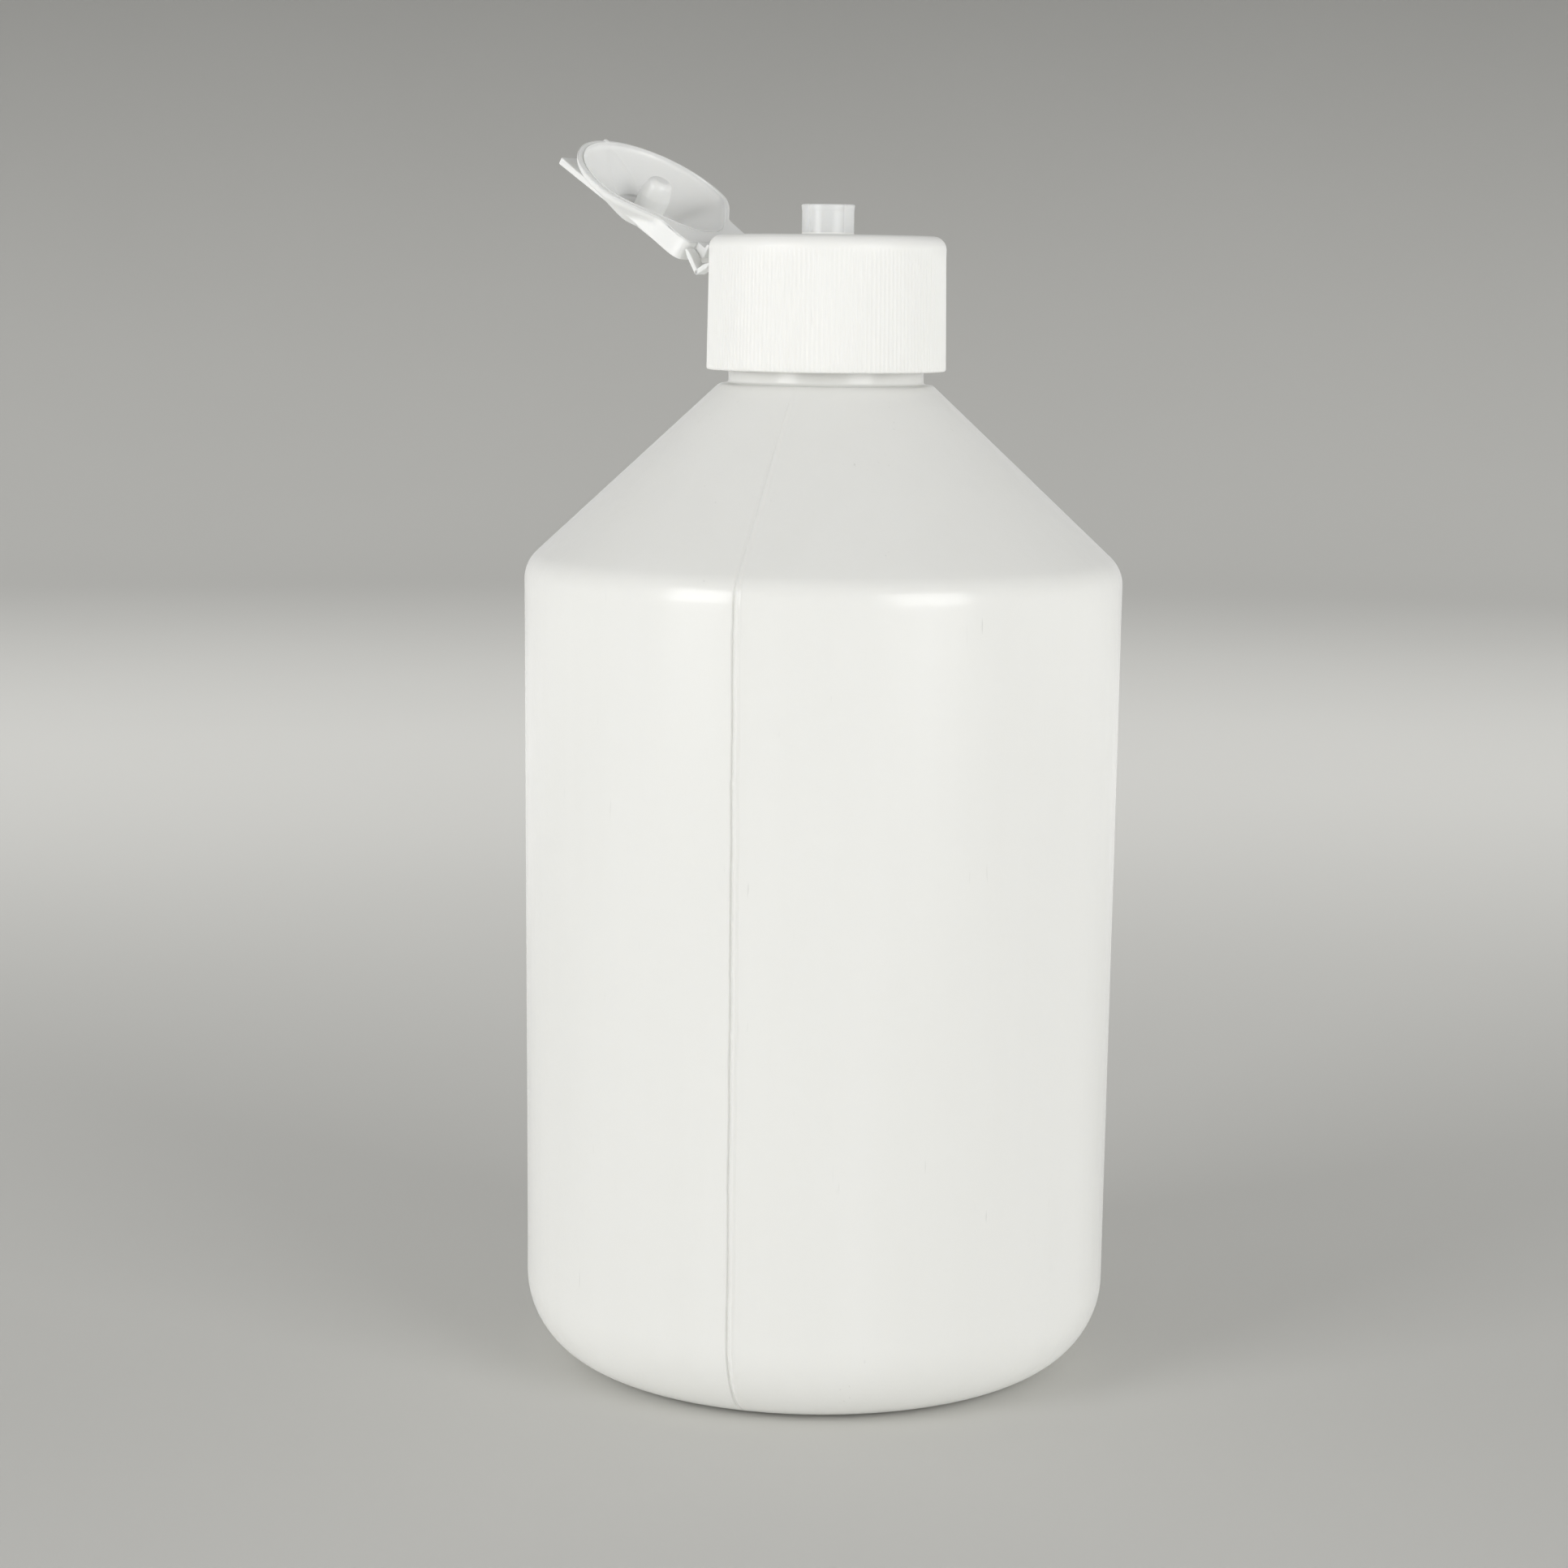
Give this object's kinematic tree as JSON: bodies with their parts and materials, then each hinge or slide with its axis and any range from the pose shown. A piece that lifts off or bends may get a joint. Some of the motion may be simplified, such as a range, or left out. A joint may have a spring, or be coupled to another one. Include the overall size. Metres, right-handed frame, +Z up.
{
  "type": "squeeze bottle with flip-top cap",
  "caption": "Round white squeeze bottle with a sloping shoulder and a screw-on flip-top cap whose lid, joined by a snap hinge, stands open beside a short spout.",
  "frame": {"origin": "centre of the base, on the bottle's axis, at the plane the bottle stands on", "axes": "+Z up along the bottle's axis; the lid's hinge lies behind and to the left, at 139 degrees from +X"},
  "size_m": [0.0802, 0.0802, 0.1656],
  "materials": {
    "bottle_plastic": "satin-gloss blow-moulded polyethylene",
    "cap_plastic": "matt injection-moulded polypropylene",
    "lid_plastic": "satin injection-moulded polypropylene",
    "film_plastic": "thin, slightly clear polypropylene",
    "strap_plastic": "satin polypropylene",
    "gasket_foam": "soft closed-cell foam"
  },
  "bodies": {
    "bottle_body": {"bottle": "bottle_plastic"},
    "seal_ring": {"gasket": "gasket_foam"},
    "cap_body": {"cap": "cap_plastic", "hinge_film": "film_plastic"},
    "lid_body": {"lid": "lid_plastic"},
    "strap_roots": {"strap_root_left": "strap_plastic", "strap_root_right": "strap_plastic"},
    "strap_tips": {"strap_tip_left": "strap_plastic", "strap_tip_right": "strap_plastic"}
  },
  "joints": [
    {"name": "cap_lift", "type": "slide", "parent": "bottle_body", "child": "seal_ring", "axis": [0, 0, 1], "range_m": [0, 0.00741]},
    {"name": "cap_turn", "type": "hinge", "parent": "seal_ring", "child": "cap_body", "pos_m": [0, 0, 0.1436], "axis": [0, 0, 1], "range_deg": [0, 630]},
    {"name": "lid_swing", "type": "hinge", "parent": "cap_body", "child": "lid_body", "pos_m": [-0.0123, 0.01069, 0.15142], "axis": [-0.6561, -0.7547, 0], "range_deg": [-147.5, 12], "deforming": ["hinge_film"]},
    {"name": "strap_root_fold", "type": "hinge", "parent": "cap_body", "child": "strap_roots", "pos_m": [-0.01162, 0.0101, 0.14852], "axis": [-0.6561, -0.7547, 0], "range_deg": [-111.8, 9.1], "deforming": ["strap_root_left", "strap_root_right"]},
    {"name": "strap_tip_fold", "type": "hinge", "parent": "lid_body", "child": "strap_tips", "pos_m": [-0.01452, 0.01263, 0.15033], "axis": [-0.6561, -0.7547, 0], "range_deg": [-7.7, 94.5], "deforming": ["strap_tip_left", "strap_tip_right"]}
  ],
  "couplings": [
    {"joint": "cap_lift", "follows": "cap_turn", "m_per_rad": 0.0006737},
    {"joint": "strap_root_fold", "follows": "lid_swing", "ratio": 0.75768},
    {"joint": "strap_tip_fold", "follows": "lid_swing", "ratio": -0.64025}
  ]
}
